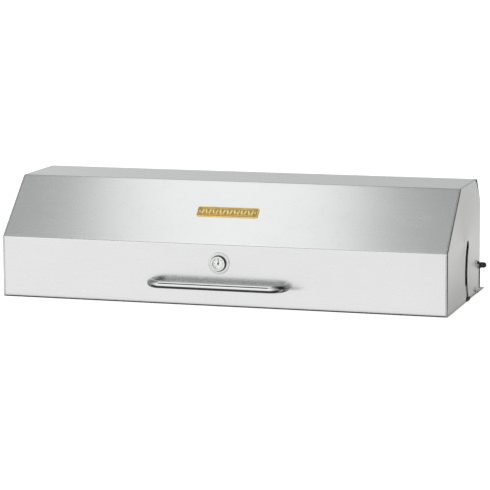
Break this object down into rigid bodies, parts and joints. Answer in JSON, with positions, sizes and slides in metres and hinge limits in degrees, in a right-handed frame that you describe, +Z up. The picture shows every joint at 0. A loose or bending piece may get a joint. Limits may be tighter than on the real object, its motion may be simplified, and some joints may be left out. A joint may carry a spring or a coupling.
{
  "type": "grill roll dome",
  "caption": "Low wide stainless roll dome for an outdoor grill, with a bow handle, dial thermometer, arc slots for a spit and a rear-hinged lid on side brackets.",
  "frame": {"origin": "middle of the whole object's footprint, on the underside of the rear flange and brackets", "axes": "+X to the right along the width, +Y to the rear, towards the hinge, +Z up"},
  "size_m": [1.214, 0.5106, 0.3],
  "materials": {
    "brushed_stainless": "fine horizontal brush, satin",
    "handle_stainless": "satin, brushed round the tube",
    "frame_stainless": "mill finish, satin",
    "bush_steel": "turned, satin",
    "zinc_fasteners": "bright zinc plate",
    "black_fasteners": "black oxide, semi gloss",
    "black_nylon": "moulded, satin",
    "black_rubber": "moulded, matte",
    "gold_badge": "polished gold plate",
    "gauge_bezel": "polished",
    "gauge_case": "black enamel, semi gloss",
    "gauge_lens": "clear float glass",
    "gauge_dial": "white enamel with dark marks",
    "gauge_pointer": "black enamel",
    "gauge_brass": "turned brass",
    "gauge_stem": "drawn stainless tube",
    "bimetal": "rolled bimetal strip"
  },
  "bodies": {
    "frame": {"rear_panel": "frame_stainless", "left_side_bracket": "frame_stainless", "right_side_bracket": "frame_stainless", "left_join_plate": "frame_stainless", "right_join_plate": "frame_stainless", "join_rivets": "zinc_fasteners", "left_bumper": "black_rubber", "right_bumper": "black_rubber", "left_pivot_bolt": "zinc_fasteners", "right_pivot_bolt": "zinc_fasteners", "left_pivot_spacer": "black_nylon", "right_pivot_spacer": "black_nylon", "left_pivot_washer": "zinc_fasteners", "right_pivot_washer": "zinc_fasteners", "left_pivot_knob": "black_nylon", "right_pivot_knob": "black_nylon"},
    "lid": {"lid_shell": "brushed_stainless", "left_end_panel": "brushed_stainless", "right_end_panel": "brushed_stainless", "handle_backing_plate": "frame_stainless", "handle_tube": "handle_stainless", "handle_end_plugs": "zinc_fasteners", "handle_screws": "zinc_fasteners", "handle_washers": "zinc_fasteners", "badge_plate": "gold_badge", "badge_rivets": "gold_badge", "rear_skirt": "brushed_stainless", "left_edge_trim": "black_rubber", "right_edge_trim": "black_rubber", "pivot_screws": "black_fasteners", "thermometer_flange": "gauge_bezel", "thermometer_case": "gauge_case", "thermometer_bezel": "gauge_bezel", "thermometer_lens": "gauge_lens", "thermometer_dial": "gauge_dial", "thermometer_bush": "gauge_brass", "thermometer_stem": "gauge_stem", "thermometer_washer": "zinc_fasteners", "thermometer_nut": "gauge_brass", "bimetal_coil": "bimetal", "left_pivot_bush": "bush_steel", "right_pivot_bush": "bush_steel", "stop_bolts": "zinc_fasteners", "stop_sleeves": "zinc_fasteners", "stop_washers": "zinc_fasteners", "stop_nuts": "zinc_fasteners"},
    "pointer": {"thermometer_pointer": "gauge_pointer", "thermometer_spindle": "gauge_stem"}
  },
  "joints": [
    {"name": "lid_hinge", "type": "hinge", "parent": "frame", "child": "lid", "pos_m": [0, 0.16545, 0.0747], "axis": [-1, 0, 0], "range_deg": [0, 95]},
    {"name": "pointer_turn", "type": "hinge", "parent": "lid", "child": "pointer", "pos_m": [0, -0.20825, 0.111], "axis": [0, 1, 0], "range_deg": [-135, 135], "stiffness_Nm_per_rad": 0.002}
  ]
}
